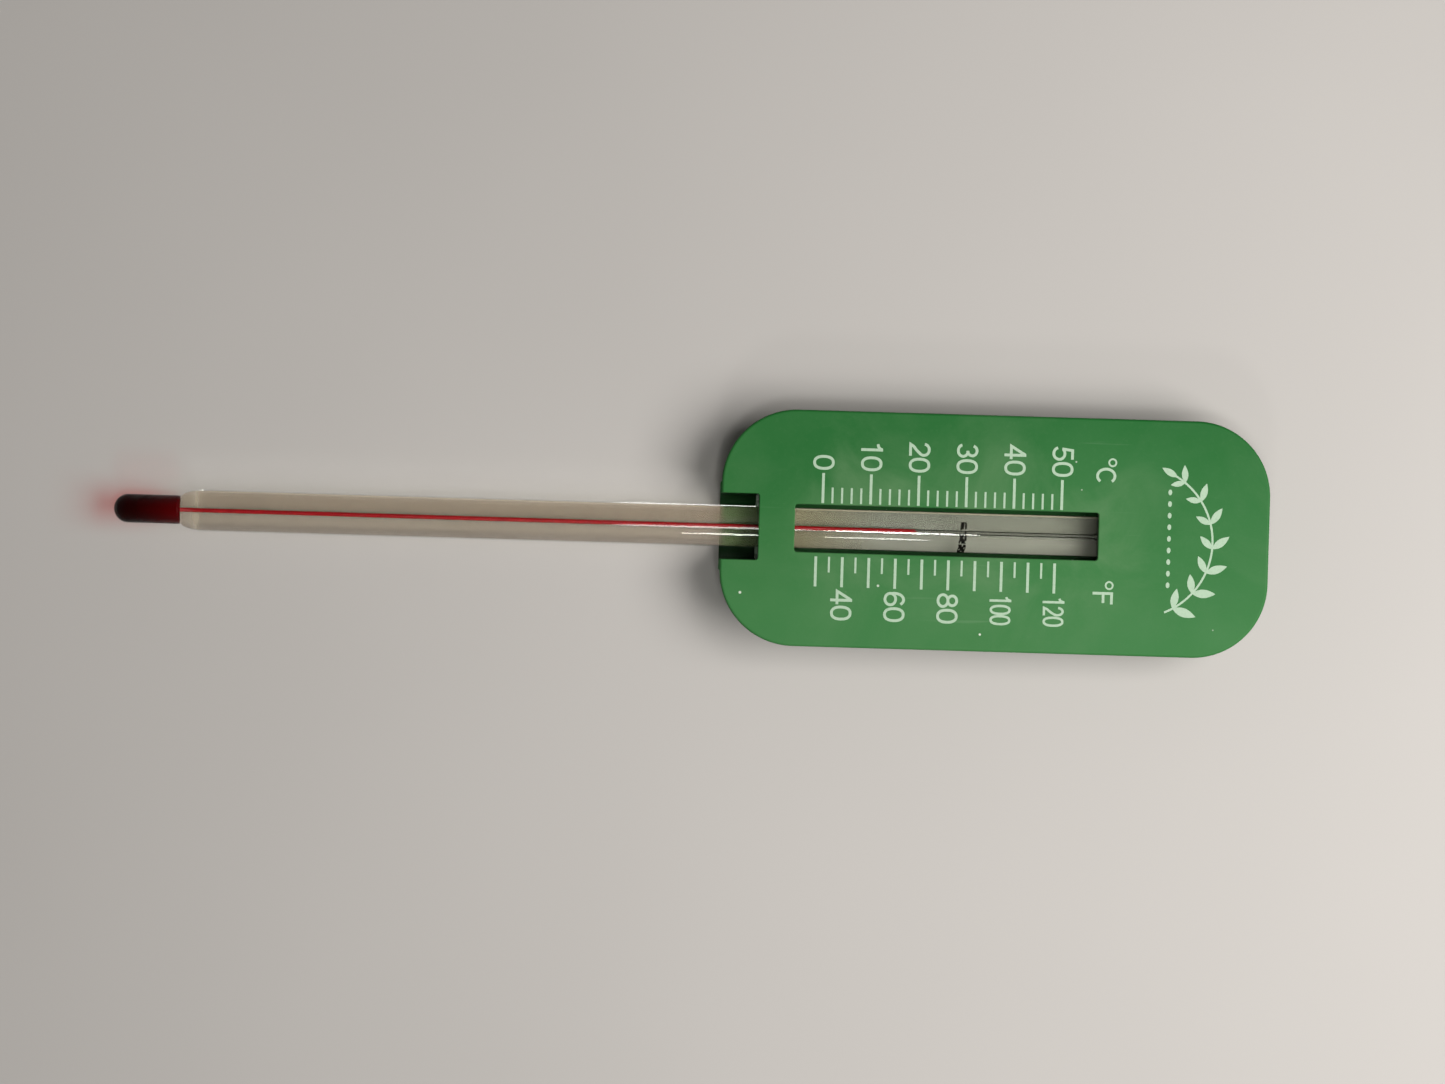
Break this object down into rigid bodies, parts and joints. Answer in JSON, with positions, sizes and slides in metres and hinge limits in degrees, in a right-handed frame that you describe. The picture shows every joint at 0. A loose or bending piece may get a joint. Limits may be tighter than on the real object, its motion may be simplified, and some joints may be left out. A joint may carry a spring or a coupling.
{
  "type": "glass thermometer",
  "caption": "Spirit thermometer: a glass stem with a red-filled bulb, fixed in a flat green plastic holder with a reading window and a trough behind it.",
  "frame": {"origin": "bottom centre of the whole object, on the surface that it lies on", "axes": "+X along the tube from the bulb to the holder, +Z out of the printed face, +Y towards the Celsius scale's side"},
  "size_m": [0.17, 0.0346, 0.01],
  "materials": {
    "green_plastic": "satin moulded, with a dusty haze and fine scuffs",
    "clear_glass": "clear, drawn tube",
    "white_enamel": "opaque cream-white enamel fused in the glass",
    "red_spirit": "dyed liquid behind glass",
    "black_paint": "thin worn paint",
    "clear_adhesive": "cloudy clear glue"
  },
  "bodies": {
    "thermometer": {"holder": "green_plastic", "glass_stem": "clear_glass", "glass_bulb": "clear_glass", "enamel_strip": "white_enamel", "bulb_spirit": "red_spirit", "spirit_column_lower": "red_spirit", "setting_mark": "black_paint", "front_adhesive": "clear_adhesive", "rear_adhesive": "clear_adhesive"},
    "spirit": {"spirit_column": "red_spirit"}
  },
  "joints": [
    {"name": "spirit_rise", "type": "slide", "parent": "thermometer", "child": "spirit", "axis": [1, 0, 0], "range_m": [-0.014, 0.021]}
  ]
}
